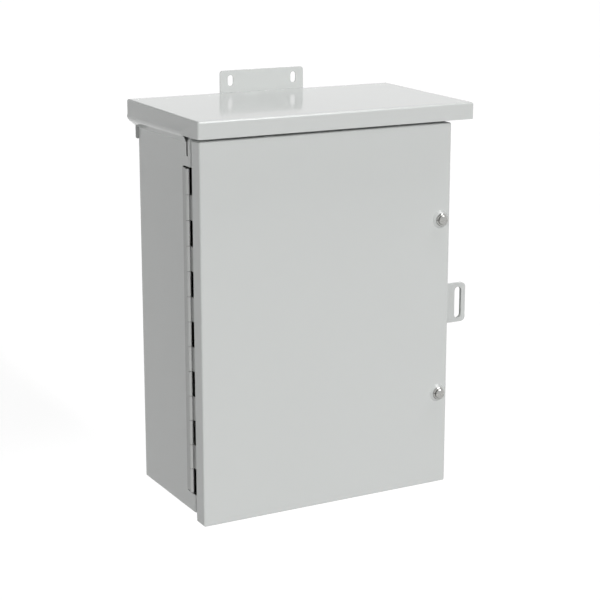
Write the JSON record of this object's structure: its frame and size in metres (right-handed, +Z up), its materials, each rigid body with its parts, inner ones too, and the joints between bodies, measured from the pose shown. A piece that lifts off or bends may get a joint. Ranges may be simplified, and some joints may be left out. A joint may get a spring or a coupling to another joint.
{
  "type": "wall-mounted control cabinet",
  "caption": "Grey sheet-metal rainproof control cabinet: drip hood, full-height door on a continuous hinge, quarter-turn latches, padlock hasp, wall brackets, fitted signal control gear.",
  "frame": {"origin": "on the wall plane, midway across the cabinet, at the height of the lower mounting slots", "axes": "+X to the right seen from the front, +Y into the wall, +Z up; the door faces -Y"},
  "size_m": [0.6482, 0.338, 0.8882],
  "materials": {
    "cabinet_paint": "light grey powder coat, semi-gloss",
    "zinc_hardware": "bright zinc plate",
    "bright_latch": "polished plate",
    "white_panel": "white gloss enamel",
    "dark_case": "dark textured paint",
    "grey_faceplate": "satin anodised",
    "display_glass": "dark green display window",
    "keypad_film": "printed film",
    "connector_shell": "olive anodised",
    "cast_flasher": "cast",
    "relay_cover": "clear moulded cover",
    "red_lens": "moulded lens",
    "yellow_lens": "moulded lens",
    "green_lens": "moulded lens",
    "pale_plastic": "moulded",
    "black_plastic": "moulded",
    "plated_bar": "tin plate",
    "brass_bar": "drawn brass"
  },
  "bodies": {
    "cabinet": {"body_shell": "cabinet_paint", "bottom_pan": "cabinet_paint", "front_header": "cabinet_paint", "drip_hood": "cabinet_paint", "top_wall_bracket": "cabinet_paint", "bottom_wall_bracket": "cabinet_paint", "hinge_body_leaf": "cabinet_paint", "hinge_pin": "cabinet_paint", "body_hasp": "cabinet_paint", "panel_studs": "zinc_hardware", "panel_nuts": "zinc_hardware", "ground_stud": "zinc_hardware", "ground_nut": "zinc_hardware", "din_rail": "zinc_hardware", "terminal_screws": "zinc_hardware", "bar_screws": "zinc_hardware", "panel_screws": "zinc_hardware", "back_panel": "white_panel", "controller_case": "dark_case", "controller_faceplate": "grey_faceplate", "controller_display": "display_glass", "controller_keypad": "keypad_film", "controller_connectors": "connector_shell", "load_rack": "grey_faceplate", "flasher_unit": "cast_flasher", "transfer_relay": "relay_cover", "red_indicators": "red_lens", "yellow_indicators": "yellow_lens", "green_indicators": "green_lens", "main_breaker": "pale_plastic", "signal_breaker": "pale_plastic", "surge_arrester": "black_plastic", "upper_terminal_strip": "black_plastic", "lower_terminal_strip": "black_plastic", "neutral_bar": "plated_bar", "ground_bar": "brass_bar", "bar_posts": "black_plastic", "load_switch_1": "black_plastic", "load_switch_2": "black_plastic", "load_switch_3": "black_plastic", "load_switch_4": "black_plastic"},
    "door": {"door_panel": "cabinet_paint", "hinge_door_leaf": "cabinet_paint", "door_hasp": "cabinet_paint", "door_bond_stud": "zinc_hardware", "upper_latch_housing": "bright_latch", "upper_latch_locknut": "zinc_hardware", "lower_latch_housing": "bright_latch", "lower_latch_locknut": "zinc_hardware"},
    "upper_latch": {"upper_latch_rotor": "bright_latch", "upper_latch_cam": "zinc_hardware", "upper_latch_cam_nut": "zinc_hardware"},
    "lower_latch": {"lower_latch_rotor": "bright_latch", "lower_latch_cam": "zinc_hardware", "lower_latch_cam_nut": "zinc_hardware"},
    "main_toggle": {"main_breaker_toggle": "black_plastic"},
    "signal_toggle": {"signal_breaker_toggle": "black_plastic"}
  },
  "joints": [
    {"name": "door_swing", "type": "hinge", "parent": "cabinet", "child": "door", "pos_m": [-0.2818, -0.2408, 0.3893], "axis": [0, 0, -1], "range_deg": [0, 130]},
    {"name": "upper_latch_turn", "type": "hinge", "parent": "door", "child": "upper_latch", "pos_m": [0.2581, -0.2936, 0.5738], "axis": [0, -1, 0], "range_deg": [0, 90]},
    {"name": "lower_latch_turn", "type": "hinge", "parent": "door", "child": "lower_latch", "pos_m": [0.2581, -0.2936, 0.2048], "axis": [0, -1, 0], "range_deg": [0, 90]},
    {"name": "main_breaker_flip", "type": "hinge", "parent": "cabinet", "child": "main_toggle", "pos_m": [0.147, -0.0872, 0.6733], "axis": [1, 0, 0], "range_deg": [0, 60]},
    {"name": "signal_breaker_flip", "type": "hinge", "parent": "cabinet", "child": "signal_toggle", "pos_m": [0.183, -0.0872, 0.6733], "axis": [1, 0, 0], "range_deg": [0, 60]}
  ]
}
